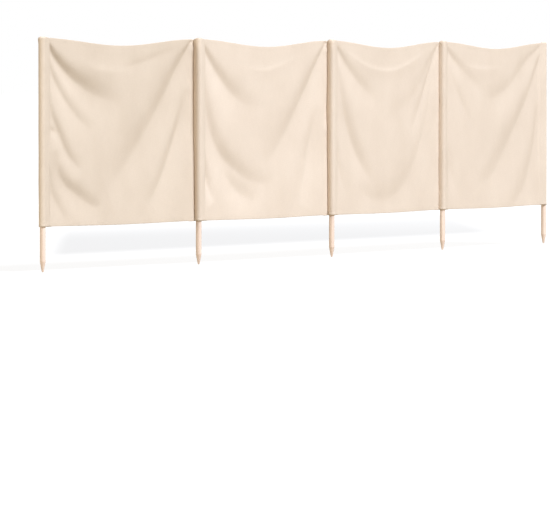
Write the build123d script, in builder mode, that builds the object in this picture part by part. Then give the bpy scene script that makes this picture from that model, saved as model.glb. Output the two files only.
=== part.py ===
from build123d import *
import os
from math import asin, atan2, cos, hypot, radians, sin, tan

# Beach windbreak: canvas bays in a row, held up by pointed wooden poles that slip into sewn pockets.
# Millimetres. +Z is up and the ground points stand at Z = 0. The row runs along X, and -Y is its
# front, where the cloth wraps round the poles. The origin is the blunt tip of the middle pole.

# Poles
pole_length = 1000.0
pole_diameter = 25.0
pole_top_chamfer = 2.5
point_length = 45.0
point_tip_diameter = 8.0

# Row of bays: each value is the direction of one bay in plan, in degrees, from left to right
bay_headings = (-3.6, -0.9, 2.1, 2.5)
pole_spacing = 1238.0
origin_pole_index = 2

# Cloth
cloth_thickness = 1.2
panel_height = 800.0
panel_top_drop = 6.0
panel_top_sag = 31.0
panel_belly = 12.0
hem_height = 13.0

# Pole pockets: each value says how far one pocket stands back from its wrapped pole
pocket_slacks = (5.0, 10.0, 8.0, 5.0, 5.0)
pocket_nose_reach = 29.0
pocket_nose_back = 2.0
pocket_fold_radius = 3.0
pocket_nose_radius = 2.5
pocket_overhang = 2.0
pole_clearance = 0.3
seam_allowance = 10.0
fold_lead = 2.0
nose_inset = 8.0
cap_skirt = 24.0
cap_edge = 3.0

wrap_radius = pole_diameter / 2 + pole_clearance + cloth_thickness
pocket_nose = wrap_radius + pocket_nose_reach
tail_end = pocket_nose + seam_allowance
panel_top = pole_length - panel_top_drop
panel_bottom = panel_top - panel_height
cap_top = pole_length + cloth_thickness
cap_rim = cap_top - cap_skirt
pocket_bottom = panel_bottom - pocket_overhang
bays = len(bay_headings)
last_pole = bays


def pole_places():
    """The plan position of each pole, with the origin pole at zero."""
    places = [Vector(0, 0, 0)]
    for heading in bay_headings:
        step = Vector(cos(radians(heading)), sin(radians(heading)), 0) * pole_spacing
        places.append(places[-1] + step)
    return [place - places[origin_pole_index] for place in places]


places = pole_places()


def pole_heading(pole):
    """A pocket faces halfway between the bays beside it, and the end ones face with their own bay."""
    left = bay_headings[max(pole - 1, 0)]
    right = bay_headings[min(pole, bays - 1)]
    return (left + right) / 2


def level_plane(pole, height):
    """A horizontal plane on a pole's axis, with its x along the cloth and its y towards the back."""
    turn = radians(pole_heading(pole))
    along = (cos(turn), sin(turn), 0)
    return Plane(origin=places[pole] + Vector(0, 0, height), x_dir=along, z_dir=(0, 0, 1))


def pocket_corners(pole):
    """The front, nose and back corners of a pocket: its front and left sides touch the wrapped pole."""
    nose = Vector(pocket_nose, pocket_nose_back)
    slope = asin(wrap_radius / hypot(nose.X, nose.Y)) + atan2(nose.Y, nose.X)
    front = Vector(-wrap_radius, -wrap_radius / cos(slope) - wrap_radius * tan(slope))
    back = Vector(-wrap_radius, wrap_radius + pocket_slacks[pole])
    return front, nose, back


def pocket_outline(pole):
    """The plan outline of a pocket: round at the pole, tapering to a seam at its nose."""
    front, nose, back = pocket_corners(pole)
    radii = [wrap_radius, pocket_nose_radius, pocket_fold_radius]
    with BuildSketch() as outline:
        with BuildLine():
            FilletPolyline(front, nose, back, radius=radii, close=True)
        make_face()
        if pole == last_pole:
            mirror(about=Plane.YZ, mode=Mode.REPLACE)
    return outline.sketch


def pocket_tail(pole):
    """The flat seam allowance at a pocket's nose, two layers thick, which the panel laps."""
    side = -1 if pole == last_pole else 1
    length = seam_allowance + nose_inset
    with BuildSketch() as tail:
        with Locations((side * (tail_end - length / 2), pocket_nose_back)):
            Rectangle(length, 2 * cloth_thickness)
    return tail.sketch


def pocket_hollow(pole):
    """The inside of a pocket, one cloth thickness within its outline."""
    return offset(pocket_outline(pole), amount=-cloth_thickness, mode=Mode.PRIVATE)


def plan_point(pole, point):
    """A point given along and behind the cloth at a pole, as a plan position."""
    place = level_plane(pole, 0).from_local_coords(Vector(point.X, point.Y, 0))
    return (place.X, place.Y)


def cloth_line(bay, depth):
    """The plan line of a panel at a depth behind its front: from one seam tail, bellied, to the next."""
    right = bay + 1
    lap = pocket_nose_back + cloth_thickness + depth
    if right == last_pole:
        arrive = Vector(-tail_end, lap)
        end = Vector(-pocket_nose, lap)
    else:
        front, nose, back = pocket_corners(right)
        run = (nose - back).normalized()
        behind = run.rotate(Axis.Z, 90) * depth
        arrive = back - run * fold_lead + behind
        end = nose - run * nose_inset + behind
    seam = plan_point(bay, Vector(pocket_nose, lap))
    leave = plan_point(bay, Vector(tail_end, lap))
    arrive = plan_point(right, arrive)
    end = plan_point(right, end)
    Line(seam, leave)
    SagittaArc(leave, arrive, -panel_belly)
    Line(arrive, end)
    return seam, end


def cloth_layer(bay, layer):
    """The plan outline of one layer of a bay's cloth: layer 0 is the panel and layer 1 its hem."""
    with BuildSketch() as outline:
        with BuildLine():
            front_seam, front_end = cloth_line(bay, layer * cloth_thickness)
            back_seam, back_end = cloth_line(bay, (layer + 1) * cloth_thickness)
            Line(front_seam, back_seam)
            Line(front_end, back_end)
        make_face()
    return outline.sketch


def elevation_plane(bay):
    """An upright plane through the middle of a bay, with its x along the bay and its y upwards."""
    middle = (places[bay] + places[bay + 1]) / 2
    turn = radians(bay_headings[bay])
    return Plane(origin=middle, x_dir=(cos(turn), sin(turn), 0), z_dir=(sin(turn), -cos(turn), 0))


def sagging_edge(drop):
    """The panel's top edge lowered by drop: level behind the pockets and sagging between the poles."""
    height = panel_top - drop
    half = pole_spacing / 2
    outer = half + tail_end
    inner = half - tail_end
    Line((-outer, height), (-inner, height))
    ThreePointArc((-inner, height), (0, height - panel_top_sag), (inner, height))
    Line((inner, height), (outer, height))
    return outer


def panel_elevation(bay):
    """The upright outline of a panel, from its straight bottom edge to its sagging top edge."""
    with BuildSketch(elevation_plane(bay)) as outline:
        with BuildLine():
            outer = sagging_edge(0)
            Line((outer, panel_top), (outer, panel_bottom))
            Line((outer, panel_bottom), (-outer, panel_bottom))
            Line((-outer, panel_bottom), (-outer, panel_top))
        make_face()
    return outline.sketch


def top_hem_elevation(bay):
    """The upright outline of the hem that follows a panel's sagging top edge."""
    with BuildSketch(elevation_plane(bay)) as outline:
        with BuildLine():
            outer = sagging_edge(0)
            sagging_edge(hem_height)
            Line((outer, panel_top), (outer, panel_top - hem_height))
            Line((-outer, panel_top - hem_height), (-outer, panel_top))
        make_face()
    return outline.sketch


def make_pole(pole):
    """A round pole, turned to a blunt point at its foot and with its top edge cut off at a slant."""
    foot = level_plane(pole, 0)
    half_section = Plane(origin=foot.origin, x_dir=foot.x_dir, z_dir=-foot.y_dir)
    radius = pole_diameter / 2
    with BuildPart() as dowel:
        with BuildSketch(half_section):
            with BuildLine():
                Polyline(
                    (0, 0),
                    (point_tip_diameter / 2, 0),
                    (radius, point_length),
                    (radius, pole_length),
                    (0, pole_length),
                    close=True,
                )
            make_face()
        revolve(axis=Axis(foot.origin, foot.z_dir))
        top_edge = dowel.edges().filter_by(GeomType.CIRCLE).group_by(Axis.Z)[-1]
        chamfer(top_edge, length=pole_top_chamfer)
    return dowel.part


def make_sleeve(pole):
    """An upright pocket of cloth round a pole, open below, with its stitched tail."""
    with BuildPart() as sleeve:
        with BuildSketch(level_plane(pole, pocket_bottom)):
            add(pocket_outline(pole))
            add(pocket_tail(pole))
            add(pocket_hollow(pole), mode=Mode.SUBTRACT)
        extrude(amount=cap_rim - pocket_bottom)
    return sleeve.part


def make_cap(pole):
    """The closed top of a pocket: a skirt, a lid level with the panel, and a dome on the pole's end."""
    rim = level_plane(pole, cap_rim)
    skirt = panel_top - cap_rim
    inner_radius = wrap_radius - cloth_thickness
    inner_edge = cap_edge - cloth_thickness * (2 - 2 ** 0.5)
    with BuildPart() as cap:
        with BuildSketch(rim):
            add(pocket_outline(pole))
            add(pocket_tail(pole))
        extrude(amount=skirt + cloth_thickness)
        with BuildSketch(rim):
            Circle(wrap_radius)
        extrude(amount=cap_skirt - cap_edge)
        with BuildSketch(rim.offset(cap_skirt - cap_edge)):
            Circle(wrap_radius)
        extrude(amount=cap_edge, taper=45)
        with BuildSketch(rim):
            add(pocket_hollow(pole))
        extrude(amount=skirt, mode=Mode.SUBTRACT)
        with BuildSketch(rim):
            Circle(inner_radius)
        extrude(amount=pole_length - cap_rim - inner_edge, mode=Mode.SUBTRACT)
        with BuildSketch(level_plane(pole, pole_length - inner_edge)):
            Circle(inner_radius)
        extrude(amount=inner_edge, taper=45, mode=Mode.SUBTRACT)
    return cap.part


def make_panel(bay):
    """One bay of canvas, from seam to seam, with its top edge sagging between the poles."""
    with BuildPart() as panel:
        with BuildSketch(Plane.XY.offset(panel_bottom)):
            add(cloth_layer(bay, 0))
        extrude(amount=panel_height)
        extrude(panel_elevation(bay), pole_spacing, both=True, mode=Mode.INTERSECT)
    return panel.part


def make_top_hem(bay):
    """The folded top edge of a bay's cloth, a narrow second layer on the back of the panel."""
    with BuildPart() as hem:
        with BuildSketch(Plane.XY.offset(panel_bottom)):
            add(cloth_layer(bay, 1))
        extrude(amount=panel_height)
        extrude(top_hem_elevation(bay), pole_spacing, both=True, mode=Mode.INTERSECT)
    return hem.part


def make_bottom_hem(bay):
    """The folded bottom edge of a bay's cloth, a second layer on the back of the panel."""
    with BuildPart() as hem:
        with BuildSketch(Plane.XY.offset(panel_bottom)):
            add(cloth_layer(bay, 1))
        extrude(amount=hem_height)
    return hem.part


def keep(part, name):
    """Labels a finished piece and writes it to its own file."""
    part.label = name
    export_step(part, f"parts/{name}.step")


os.makedirs("parts", exist_ok=True)

for pole in range(bays + 1):
    keep(make_pole(pole), f"pole_{pole + 1}")
    keep(make_sleeve(pole), f"sleeve_{pole + 1}")
    keep(make_cap(pole), f"sleeve_cap_{pole + 1}")

for bay in range(bays):
    keep(make_panel(bay), f"panel_{bay + 1}")
    keep(make_top_hem(bay), f"top_hem_{bay + 1}")
    keep(make_bottom_hem(bay), f"bottom_hem_{bay + 1}")
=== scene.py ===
# %% [markdown]
# # A beach windbreak of canvas and poles
# The real thing is a strip of unbleached cotton canvas, five metres long and eighty centimetres
# high, with a pocket sewn round each of five pointed poles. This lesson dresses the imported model:
# the poles stay as they were packed and get their wood, and every bay of cloth is made again as
# one soft sheet.

import math
from collections import namedtuple

import bmesh
import bpy
import numpy as np
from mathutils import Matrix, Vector, noise


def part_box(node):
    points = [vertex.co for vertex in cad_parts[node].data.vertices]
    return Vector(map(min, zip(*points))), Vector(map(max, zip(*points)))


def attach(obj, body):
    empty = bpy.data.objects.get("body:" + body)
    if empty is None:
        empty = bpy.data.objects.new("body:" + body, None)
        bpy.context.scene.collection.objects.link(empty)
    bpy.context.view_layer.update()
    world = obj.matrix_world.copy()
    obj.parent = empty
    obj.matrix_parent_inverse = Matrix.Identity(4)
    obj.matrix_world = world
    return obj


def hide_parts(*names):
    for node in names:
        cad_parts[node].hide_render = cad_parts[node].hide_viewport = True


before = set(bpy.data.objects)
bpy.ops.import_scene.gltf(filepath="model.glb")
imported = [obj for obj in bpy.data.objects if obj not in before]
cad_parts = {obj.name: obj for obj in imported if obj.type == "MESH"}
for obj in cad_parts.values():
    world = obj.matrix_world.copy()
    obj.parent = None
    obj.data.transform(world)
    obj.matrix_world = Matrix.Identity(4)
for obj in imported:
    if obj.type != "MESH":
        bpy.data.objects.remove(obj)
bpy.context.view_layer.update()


def deselect():
    """Leaves nothing selected, because an operator acts on all that is selected."""
    bpy.ops.object.select_all(action="DESELECT")


# %% [markdown]
# ## The camera
# The photograph looks along the row from its left end with a long lens, from so far away that the
# bays hardly shrink. A wide lens close by would make the far bays much smaller, so the camera
# stands far off and gets its place, its turn and its lens as numbers. The floor has to reach a
# long way too.

# %% Camera
FRAME_PIXELS = 550
FOCAL_PIXELS = 6000
SENSOR = 36.0
CAMERA_PLACE = (-24.503, -12.749, 0.841)
CAMERA_DOWN = math.radians(1.75)
CAMERA_TURN = math.radians(-61.97)
NEAREST, FARTHEST = 1.0, 400.0

deselect()
bpy.ops.object.camera_add(
    location=CAMERA_PLACE, rotation=(math.pi / 2 - CAMERA_DOWN, 0, CAMERA_TURN)
)
camera = bpy.context.object
camera.name = "view_camera"
camera.data.sensor_width = SENSOR
camera.data.lens = SENSOR * FOCAL_PIXELS / FRAME_PIXELS
camera.data.clip_start, camera.data.clip_end = NEAREST, FARTHEST
bpy.context.scene.camera = camera
bpy.context.scene.view_settings.view_transform = "Standard"
print("lens", round(camera.data.lens, 1), "mm")

# %% [markdown]
# ## Lamps
# Folds in pale cloth show only by their shade, so the light has to come mostly from one side. A
# large soft lamp hangs high in front of the row: cloth that turns down is darker and cloth that
# turns up is brighter. A second one stands far off beyond the row's left end and a little behind
# it. It lights the side of the first pocket, and the cloth of the bays keeps it off the others. A
# weaker one behind the row keeps the back readable. The lamps are wide because a small one would
# cut a hard shadow beside each pocket.

# %% Lamps
ROW_MIDDLE = Vector((0.0, 0.0, 0.6))
COOL = (0.852, 0.902, 1.0)
PALE = (1.0, 0.94, 0.87)
WARM = (1.0, 0.72, 0.40)


def soft_lamp(name, place, size, power, colour):
    """A wide area lamp at a place, turned to face the middle of the row."""
    deselect()
    bpy.ops.object.light_add(type="AREA", location=place)
    lamp = bpy.context.object
    lamp.name = name
    lamp.data.shape = "RECTANGLE"
    lamp.data.size, lamp.data.size_y = size
    lamp.data.energy = power
    lamp.data.color = colour
    lamp.rotation_euler = (ROW_MIDDLE - lamp.location).to_track_quat("-Z", "Y").to_euler()
    lamp.visible_camera = False
    print("lamp", name, power, "W")


soft_lamp("top_lamp", (-3.2, -20.3, 26.0), (16.0, 10.0), 16500, COOL)
soft_lamp("side_lamp", (-20.0, 2.2, 2.5), (2.0, 3.0), 1200, PALE)
soft_lamp("back_lamp", (7.0, 9.0, 5.0), (5.0, 3.0), 800, COOL)

# %% [markdown]
# ## Finishes made of nodes
# Neither cloth nor wood is one flat colour. A picture of each could be laid on, but it would bring
# its own light with it and would stretch at the edges. Here noise and waves are worked out from
# places on the piece, so slubs and grain have their true size on every side. Every finish is a
# small tree of nodes, and these helpers make the nodes that all of them share.

# %% Numbers and noise


def node_tree(owner):
    """An emptied shader tree with its add and link calls."""
    owner.use_nodes = True
    tree = owner.node_tree
    tree.nodes.clear()
    return tree, tree.nodes.new, tree.links.new


def number_node(tree, operation, *values):
    """A maths node fed by sockets or plain numbers."""
    node = tree.nodes.new("ShaderNodeMath")
    node.operation = operation
    for socket, value in zip(node.inputs, values):
        if isinstance(value, bpy.types.NodeSocket):
            tree.links.new(value, socket)
        else:
            socket.default_value = value
    return node.outputs[0]


def eased(tree, value, start, stop, first=0.0, last=1.0):
    """A number that runs smoothly from first to last as a socket runs from start to stop."""
    node = tree.nodes.new("ShaderNodeMapRange")
    node.interpolation_type = "SMOOTHSTEP"
    node.inputs["From Min"].default_value = start
    node.inputs["From Max"].default_value = stop
    node.inputs["To Min"].default_value = first
    node.inputs["To Max"].default_value = last
    tree.links.new(value, node.inputs["Value"])
    return node.outputs["Result"]


def stretched_noise(tree, coordinates, scale, detail=2.0):
    """Noise whose grain is as long and wide as a three-way scale makes it."""
    mapping = tree.nodes.new("ShaderNodeMapping")
    mapping.inputs["Scale"].default_value = scale
    tree.links.new(coordinates, mapping.inputs["Vector"])
    texture = tree.nodes.new("ShaderNodeTexNoise")
    texture.inputs["Scale"].default_value = 1.0
    texture.inputs["Detail"].default_value = detail
    tree.links.new(mapping.outputs[0], texture.inputs["Vector"])
    return texture.outputs["Fac"]


# %% Colour and surface
SHINE = 0.25
print("shine of every finish", SHINE)


def colour_between(tree, share, low_colour, high_colour, low=0.0, high=1.0):
    """A colour that runs from one to the other as a share runs from low to high."""
    ramp = tree.nodes.new("ShaderNodeValToRGB")
    ramp.color_ramp.elements[0].position = low
    ramp.color_ramp.elements[0].color = (*low_colour, 1)
    ramp.color_ramp.elements[1].position = high
    ramp.color_ramp.elements[1].color = (*high_colour, 1)
    tree.links.new(share, ramp.inputs["Fac"])
    return ramp.outputs["Color"]


def raised(tree, height, strength, distance):
    """A bump from a height socket."""
    bump = tree.nodes.new("ShaderNodeBump")
    bump.inputs["Strength"].default_value = strength
    bump.inputs["Distance"].default_value = distance
    tree.links.new(height, bump.inputs["Height"])
    return bump.outputs["Normal"]


def finished(tree, colour, roughness, normal):
    """One Principled surface from its colour, roughness and bump."""
    shader = tree.nodes.new("ShaderNodeBsdfPrincipled")
    tree.links.new(colour, shader.inputs["Base Color"])
    tree.links.new(roughness, shader.inputs["Roughness"])
    tree.links.new(normal, shader.inputs["Normal"])
    shader.inputs["Specular IOR Level"].default_value = SHINE
    output = tree.nodes.new("ShaderNodeOutputMaterial")
    tree.links.new(shader.outputs[0], output.inputs["Surface"])


# %% [markdown]
# ## Surroundings and floor
# Light that pale cotton has thrown about is warm, so shaded cloth looks warmer than lit cloth. The
# high lamp is therefore cool, and the light that comes from all round and fills the shade is warm.
# A white floor would throw light up and fill the folds from below, so the floor is a darker paper
# to that light. Where it is looked at it glows up to white instead. Behind the row a faint soft
# shadow is painted into that glow: a painted shadow, made by lowering the glow, not cast by a lamp.

# %% Surroundings
AMBIENT = 0.22


def seen_directly(tree):
    """One where a camera, mirror or glass ray arrives, and nought for light that bounces about."""
    rays = tree.nodes.new("ShaderNodeLightPath").outputs
    seen = number_node(tree, "MAXIMUM", rays["Is Camera Ray"], rays["Is Glossy Ray"])
    return number_node(tree, "MAXIMUM", seen, rays["Is Transmission Ray"])


def light_and_look(tree, light, look, output):
    """Ends a tree with one shader for light that bounces about and one for what is looked at."""
    choice = tree.nodes.new("ShaderNodeMixShader")
    tree.links.new(seen_directly(tree), choice.inputs["Fac"])
    tree.links.new(light.outputs[0], choice.inputs[1])
    tree.links.new(look.outputs[0], choice.inputs[2])
    tree.links.new(choice.outputs[0], tree.nodes.new(output).inputs["Surface"])


world = bpy.data.worlds.new("studio")
bpy.context.scene.world = world
tree, new, _ = node_tree(world)
soft = new("ShaderNodeBackground")
soft.inputs["Color"].default_value = (*WARM, 1)
soft.inputs["Strength"].default_value = AMBIENT
white = new("ShaderNodeBackground")
white.inputs["Color"].default_value = (1, 1, 1, 1)
light_and_look(tree, soft, white, "ShaderNodeOutputWorld")
print("light from all round", AMBIENT)

# %% Floor finish
FLOOR_COLOUR = (0.38, 0.325, 0.23)
FLOOR_SHOWN = (0.14, 0.14, 0.14)
FLOOR_GLOW = 0.90
GLOW_FROM, GLOW_TO = 3.0, 9.0
# Painted shadow: how far the floor's glow is lowered in a soft band behind the row.
PAINTED_SHADOW = 0.20
PAINTED_SHADOW_SLANT = -1.77
PAINTED_SHADOW_LEFT, PAINTED_SHADOW_RIGHT = (-2.75, -2.5), (1.8, 2.3)
PAINTED_SHADOW_FRONT, PAINTED_SHADOW_BACK = (1.0, 1.5), (2.4, 5.0)


def between(tree, value, rise, fall):
    """One between two places and nought beyond them, with a soft edge at each."""
    inside = eased(tree, value, *rise)
    return number_node(tree, "MULTIPLY", inside, eased(tree, value, *fall, 1.0, 0.0))


def plain_paper(tree, colour):
    """A matt surface of one colour."""
    paper = tree.nodes.new("ShaderNodeBsdfDiffuse")
    paper.inputs["Color"].default_value = (*colour, 1)
    return paper


floor_finish = bpy.data.materials.new("pale_floor")
tree, new, link = node_tree(floor_finish)
place = new("ShaderNodeNewGeometry").outputs["Position"]
distance = new("ShaderNodeVectorMath")
distance.operation = "LENGTH"
link(place, distance.inputs[0])
bright = eased(tree, distance.outputs["Value"], GLOW_FROM, GLOW_TO, FLOOR_GLOW, 1.0)
spot = new("ShaderNodeSeparateXYZ")
link(place, spot.inputs[0])
# The painted shadow on the floor: a band behind the row, cut off slantwise at the row's two ends.
slanted = number_node(tree, "MULTIPLY_ADD", spot.outputs["Y"], PAINTED_SHADOW_SLANT, spot.outputs["X"])
painted_shadow_ends = between(tree, slanted, PAINTED_SHADOW_LEFT, PAINTED_SHADOW_RIGHT)
painted_shadow_sides = between(tree, spot.outputs["Y"], PAINTED_SHADOW_FRONT, PAINTED_SHADOW_BACK)
painted_shadow_share = number_node(tree, "MULTIPLY", painted_shadow_ends, painted_shadow_sides)
bright = number_node(tree, "MULTIPLY_ADD", painted_shadow_share, -PAINTED_SHADOW, bright)
glow = new("ShaderNodeEmission")
link(bright, glow.inputs["Strength"])
lit = new("ShaderNodeAddShader")
link(plain_paper(tree, FLOOR_SHOWN).outputs[0], lit.inputs[0])
link(glow.outputs[0], lit.inputs[1])
light_and_look(tree, plain_paper(tree, FLOOR_COLOUR), lit, "ShaderNodeOutputMaterial")
print("floor finish of", len(tree.nodes), "nodes")

# %% Floor
FLOOR_SIZE = 400.0
FLOOR_DROP = 0.001

deselect()
bpy.ops.mesh.primitive_plane_add(size=FLOOR_SIZE, location=(0, 0, -FLOOR_DROP))
floor = bpy.context.object
floor.name = "floor"
floor.data.materials.append(floor_finish)
print("floor", FLOOR_SIZE, "m across")

# %% [markdown]
# ## Canvas
# The cloth is a plain weave: each thread goes over one and under the next, so the surface is a
# chequerboard of small crowns. Cotton yarn is uneven, with thicker stretches called slubs, and
# unbleached yarn keeps a warm, slightly blotchy cream. A pattern on the object's own axes would
# run straight through the folds, so this one lies on the cloth's flat coordinates, which are
# metres along the strip and up it, and follows every fold. The first bay's colour carries a
# painted shade: it is a little greyer, because the lamps light that bay more than the others. The
# sewing thread is smoother and a little darker.

# %% Canvas material
THREAD_PITCH = 0.0009
THREAD_WAVER = 0.0012
WAVER_GRAIN = (60, 60, 1)
WEFT_GRAIN, WARP_GRAIN = (34, 620, 1), (620, 26, 1)
BLOTCH_GRAIN = (5, 4, 1)
BLOTCH_SHARE, WEAVE_SHARE = 0.35, 0.15
CANVAS_DARK, CANVAS_LIGHT = (0.71, 0.606, 0.497), (0.87, 0.763, 0.652)
CANVAS_ROUGH = 0.84
# Painted shade: the first bay's canvas colour is multiplied by this grey, fading out between these
# places along the strip.
FIRST_BAY_PAINTED_SHADE = (0.92, 0.915, 0.895)
FIRST_BAY_PAINTED_SHADE_END = (1.30, 1.45)

canvas = bpy.data.materials.new("natural_canvas")
tree, new, link = node_tree(canvas)
flat = new("ShaderNodeUVMap")
flat.uv_map = "flat"
split = new("ShaderNodeSeparateXYZ")
link(flat.outputs["UV"], split.inputs[0])
waver = stretched_noise(tree, flat.outputs["UV"], WAVER_GRAIN)
crowns = []
for axis in ("X", "Y"):
    wavering = number_node(tree, "MULTIPLY_ADD", waver, THREAD_WAVER, split.outputs[axis])
    turn = number_node(tree, "MULTIPLY", wavering, math.pi / THREAD_PITCH)
    crowns.append(number_node(tree, "ABSOLUTE", number_node(tree, "SINE", turn)))
weave = number_node(tree, "MULTIPLY", *crowns)
weft, warp, blotch = (
    stretched_noise(tree, flat.outputs["UV"], grain, 3.0)
    for grain in (WEFT_GRAIN, WARP_GRAIN, BLOTCH_GRAIN)
)
slubs = number_node(tree, "MULTIPLY_ADD", warp, 0.5, number_node(tree, "MULTIPLY", weft, 0.5))
half_slubs = number_node(tree, "MULTIPLY", slubs, 0.5)
mixed = number_node(tree, "MULTIPLY_ADD", blotch, BLOTCH_SHARE, half_slubs)
tone = number_node(tree, "MULTIPLY_ADD", weave, WEAVE_SHARE, mixed)
colour = colour_between(tree, tone, CANVAS_DARK, CANVAS_LIGHT, 0.25, 0.75)
# Painted shade on the first bay, multiplied into the canvas colour.
first_bay_painted_shade = new("ShaderNodeMixRGB")
first_bay_painted_shade.blend_type = "MULTIPLY"
first_bay_painted_shade.inputs["Color2"].default_value = (*FIRST_BAY_PAINTED_SHADE, 1)
link(eased(tree, split.outputs["X"], *FIRST_BAY_PAINTED_SHADE_END, 1.0, 0.0), first_bay_painted_shade.inputs["Fac"])
link(colour, first_bay_painted_shade.inputs["Color1"])
colour = first_bay_painted_shade.outputs["Color"]
rough = number_node(tree, "MULTIPLY_ADD", slubs, 0.12, CANVAS_ROUGH)
height = number_node(tree, "MULTIPLY_ADD", slubs, 0.8, number_node(tree, "MULTIPLY", weave, 0.5))
finished(tree, colour, rough, raised(tree, height, strength=0.55, distance=0.0004))
print("canvas threads", 1000 * THREAD_PITCH, "mm apart")

# %% Thread material
THREAD_GRAIN = (900, 900, 900)
THREAD_DARK, THREAD_LIGHT = (0.66, 0.57, 0.45), (0.80, 0.71, 0.58)
THREAD_ROUGH = 0.6

thread = bpy.data.materials.new("cotton_thread")
tree, new, _ = node_tree(thread)
fibre = stretched_noise(tree, new("ShaderNodeTexCoord").outputs["Object"], THREAD_GRAIN)
colour = colour_between(tree, fibre, THREAD_DARK, THREAD_LIGHT)
rough = number_node(tree, "MULTIPLY_ADD", fibre, 0.2, THREAD_ROUGH)
finished(tree, colour, rough, raised(tree, fibre, strength=0.4, distance=0.0002))
print("finishes for the cloth", canvas.name, thread.name)

# %% [markdown]
# ## Wood
# The poles are turned from pale beech or pine and left bare. The grain runs up them, so one noise
# is stretched into long faint streaks and a finer one into fibres, and a slow drift keeps the
# poles from looking alike. The cut point, where the fibres end, is a shade darker. The packed
# poles already have their true shape, with the pointed foot and the slanted top edge, so they only
# need this finish.

# %% Wood material
WOOD_DARK, WOOD_LIGHT = (0.74, 0.58, 0.48), (0.93, 0.79, 0.69)
WOOD_ROUGH = 0.48
STREAK_GRAIN, FIBRE_GRAIN, DRIFT_GRAIN = (110, 110, 2.2), (900, 900, 14), (1.5, 1.5, 3.0)
STREAK_SHARE, FIBRE_SHARE, DRIFT_SHARE = 0.5, 0.3, 0.2
POINT_HEIGHT, POINT_DARKER = 0.045, -0.05

wood = bpy.data.materials.new("bare_pole_wood")
tree, new, link = node_tree(wood)
spot = new("ShaderNodeTexCoord").outputs["Object"]
streaks = stretched_noise(tree, spot, STREAK_GRAIN, 4.0)
fibres = stretched_noise(tree, spot, FIBRE_GRAIN, 2.0)
drift = stretched_noise(tree, spot, DRIFT_GRAIN, 1.0)
figure = number_node(tree, "MULTIPLY", streaks, STREAK_SHARE)
figure = number_node(tree, "MULTIPLY_ADD", fibres, FIBRE_SHARE, figure)
figure = number_node(tree, "MULTIPLY_ADD", drift, DRIFT_SHARE, figure)
split = new("ShaderNodeSeparateXYZ")
link(spot, split.inputs[0])
cut = number_node(tree, "LESS_THAN", split.outputs["Z"], POINT_HEIGHT)
figure = number_node(tree, "MULTIPLY_ADD", cut, POINT_DARKER, figure)
colour = colour_between(tree, figure, WOOD_DARK, WOOD_LIGHT, 0.3, 0.62)
rough = number_node(tree, "MULTIPLY_ADD", fibres, 0.2, WOOD_ROUGH)
finished(tree, colour, rough, raised(tree, fibres, strength=0.35, distance=0.0003))

POLE_COUNT = 5
for number in range(POLE_COUNT):
    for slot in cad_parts[f"pole_{number + 1}"].material_slots:
        slot.material = wood
print("poles in wood", POLE_COUNT)

# %% [markdown]
# ## Where the cloth hangs
# The cloth could be drawn from numbers of its own, but then it would part from the poles when
# their size or place changes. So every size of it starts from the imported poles. Each bay has its
# own directions: along it from its left pole to its right one, and back, away from the front. A
# pocket faces halfway between its two bays.

# %% Poles and directions
BAY_COUNT = POLE_COUNT - 1
LAST_BAY = BAY_COUNT - 1


def box_middle(node):
    """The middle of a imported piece's box."""
    low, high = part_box(node)
    return (low + high) / 2


pole_spots = [box_middle(f"pole_{number + 1}").xy for number in range(POLE_COUNT)]
pole_low, pole_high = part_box("pole_1")
POLE_TOP = pole_high.z
POLE_RADIUS = (pole_high.x - pole_low.x) / 2
PANEL_BOTTOM, PANEL_TOP = (corner.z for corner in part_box("panel_1"))
POCKET_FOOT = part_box("sleeve_1")[0].z
POCKET_LOWER = PANEL_BOTTOM - POCKET_FOOT

bay_turns = [
    math.atan2(right.y - left.y, right.x - left.x)
    for left, right in zip(pole_spots, pole_spots[1:])
]
bay_lengths = [(right - left).length for left, right in zip(pole_spots, pole_spots[1:])]
pole_turns = [
    (bay_turns[max(pole - 1, 0)] + bay_turns[min(pole, LAST_BAY)]) / 2
    for pole in range(POLE_COUNT)
]
print("bays", [round(length, 3) for length in bay_lengths], "pole radius", round(POLE_RADIUS, 4))


def smooth(share):
    """Eases a share from nought to one."""
    share = np.clip(share, 0, 1)
    return share * share * (3 - 2 * share)


# %% [markdown]
# ## The section of a pocket
# Seen from above, the cloth of a bay starts at the seam behind, runs back to a soft fold corner,
# comes forward along the dark side, wraps the front of the pole and runs on over the seam into the
# bay. A pocket could be a plain tube, but a sewn one is a teardrop, and no two hang alike. So each
# has values of its own: how much looser than snug it lies round the pole, where the centre of that
# round lies along and behind the pole's axis, how far the fold corner stands back at the top and
# at the foot, how far in from the pole's side it lies, and nicks, which are creases from when the
# pole went in. All lengths are of the middle of the cloth's thickness, in metres.

# %% Pocket values
CLOTH = 0.0009
CLEARANCE = 0.0004
WRAP = POLE_RADIUS + CLEARANCE + CLOTH / 2

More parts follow.
